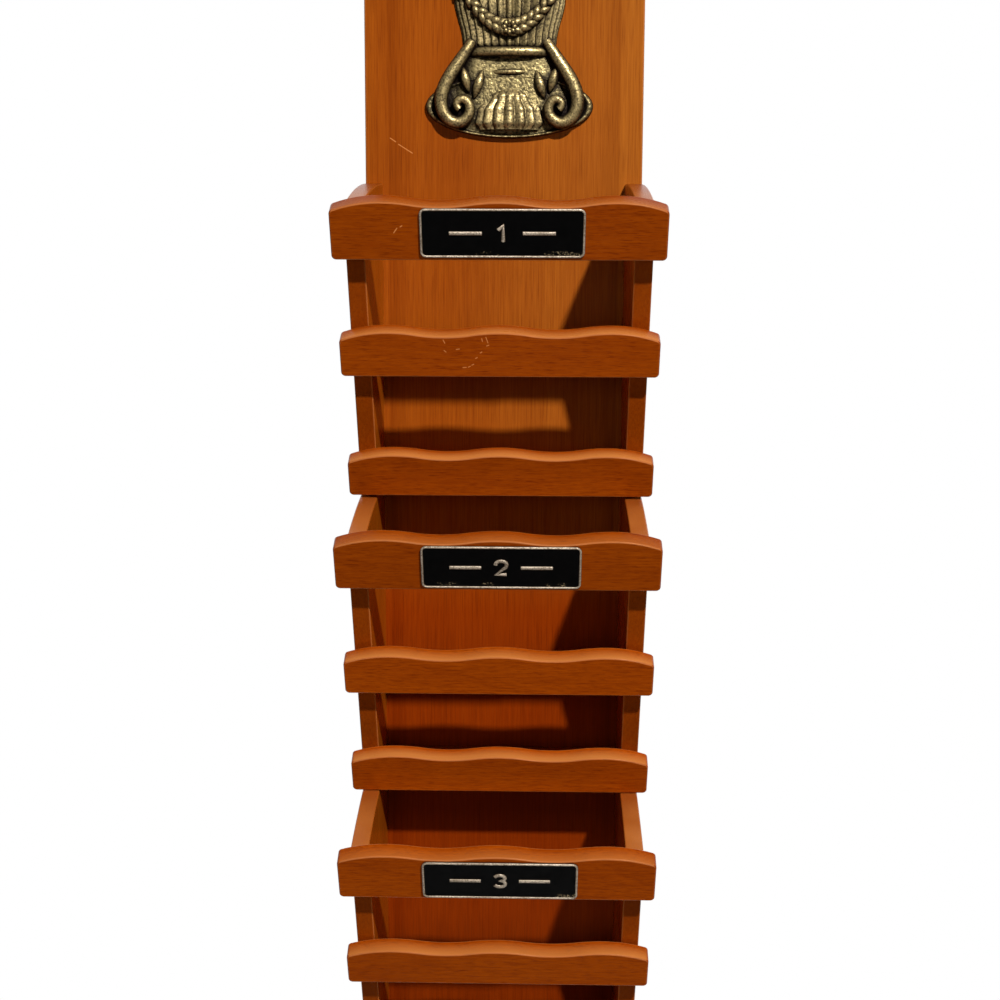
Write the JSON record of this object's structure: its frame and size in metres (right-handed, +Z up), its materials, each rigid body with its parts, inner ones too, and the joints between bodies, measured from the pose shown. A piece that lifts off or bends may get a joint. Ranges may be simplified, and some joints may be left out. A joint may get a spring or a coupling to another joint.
{
  "type": "wall organizer",
  "caption": "Tall stained-wood wall organizer: back board with tiers of outward-leaning slatted paper pockets, numbered label plates and a cast brass urn ornament.",
  "frame": {"origin": "centre of the keyhole hanger's round opening, on the wall plane", "axes": "+Z up, +Y into the wall, the pockets face -Y, +X to the right seen from the front"},
  "size_m": [0.1656, 0.1328, 0.6801],
  "materials": {
    "stained_wood": "satin lacquer over reddish-brown stain",
    "dowel_wood": "bare",
    "label_black": "gloss black, raised parts bare brass",
    "antique_brass": "antiqued, dark in the hollows",
    "zinc_steel": "zinc plated"
  },
  "bodies": {
    "root": {"back_board": "stained_wood", "left_side_board": "stained_wood", "right_side_board": "stained_wood", "label_slat_1": "stained_wood", "middle_slat_1": "stained_wood", "lower_slat_1": "stained_wood", "pocket_floor_1": "stained_wood", "label_slat_2": "stained_wood", "middle_slat_2": "stained_wood", "lower_slat_2": "stained_wood", "pocket_floor_2": "stained_wood", "label_slat_3": "stained_wood", "middle_slat_3": "stained_wood", "lower_slat_3": "stained_wood", "pocket_floor_3": "stained_wood", "label_plate_1": "label_black", "slat_dowels_1": "dowel_wood", "label_plate_2": "label_black", "slat_dowels_2": "dowel_wood", "label_plate_3": "label_black", "slat_dowels_3": "dowel_wood", "ornament": "antique_brass", "hanger_plate": "zinc_steel", "left_side_screws": "zinc_steel", "right_side_screws": "zinc_steel", "floor_screws": "zinc_steel", "ornament_screws": "zinc_steel", "hanger_screws": "zinc_steel"}
  },
  "joints": []
}
